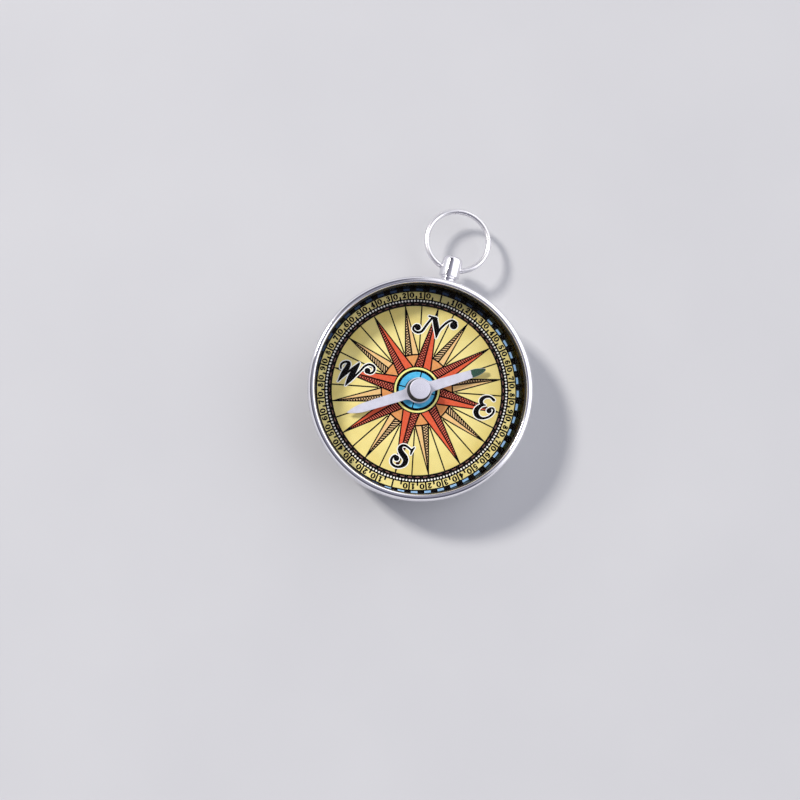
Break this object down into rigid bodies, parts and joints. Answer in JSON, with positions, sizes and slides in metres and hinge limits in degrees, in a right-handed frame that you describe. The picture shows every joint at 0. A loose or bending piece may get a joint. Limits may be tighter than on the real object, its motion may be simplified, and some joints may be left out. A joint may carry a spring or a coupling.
{
  "type": "pocket compass",
  "caption": "Round open-faced pocket compass with a glazed metal case, a printed compass-rose card, a magnetised needle on a point, and a bow ring on a pendant.",
  "frame": {"origin": "centre of the flat back of the case, on the axis that the needle turns about", "axes": "+Z out of the dial's face, +Y from the axis towards the pendant and the dial's north, +X towards the dial's east"},
  "size_m": [0.045, 0.0614, 0.011],
  "materials": {
    "case_metal": "nickel-plated steel, polished",
    "bezel_metal": "nickel-plated steel, mirror polished",
    "lining_metal": "polished, darkened by what it reflects",
    "crystal_glass": "clear",
    "gasket_rubber": "black",
    "plate_metal": "plain",
    "card_paper": "printed yellow, satin",
    "ink_black": "printed ink",
    "ink_red": "printed ink",
    "ink_orange": "printed ink",
    "ink_blue": "printed ink",
    "post_brass": "turned",
    "pin_steel": "hardened and ground",
    "bow_metal": "nickel-plated wire",
    "needle_enamel": "pale satin lacquer",
    "cap_metal": "satin, turned",
    "jewel_glass": "red glass",
    "tip_green": "green lacquer"
  },
  "bodies": {
    "case": {"case_cup": "case_metal", "bezel": "bezel_metal", "crystal": "crystal_glass", "crystal_gasket": "gasket_rubber", "lining_ring": "lining_metal", "dial_plate": "plate_metal", "dial_card": "card_paper", "scale_ink": "ink_black", "star_ink_red": "ink_red", "star_ink_orange": "ink_orange", "medal_ink_blue": "ink_blue", "pivot_post": "post_brass", "post_washer": "pin_steel", "post_nut": "post_brass", "pivot_pin": "pin_steel", "pendant": "bezel_metal"},
    "needle": {"needle_blade": "needle_enamel", "needle_cap": "cap_metal", "cap_collar": "cap_metal", "jewel_cup": "jewel_glass", "north_tip_paint": "tip_green"},
    "bow": {"bow_ring": "bow_metal"}
  },
  "joints": [
    {"name": "needle_spin", "type": "hinge", "parent": "case", "child": "needle", "pos_m": [0, 0, 0.00755], "axis": [0, 0, 1], "continuous": true},
    {"name": "bow_swing", "type": "hinge", "parent": "case", "child": "bow", "pos_m": [0, 0.0258, 0.0057], "axis": [1, 0, 0], "range_deg": [-131, 129]}
  ]
}
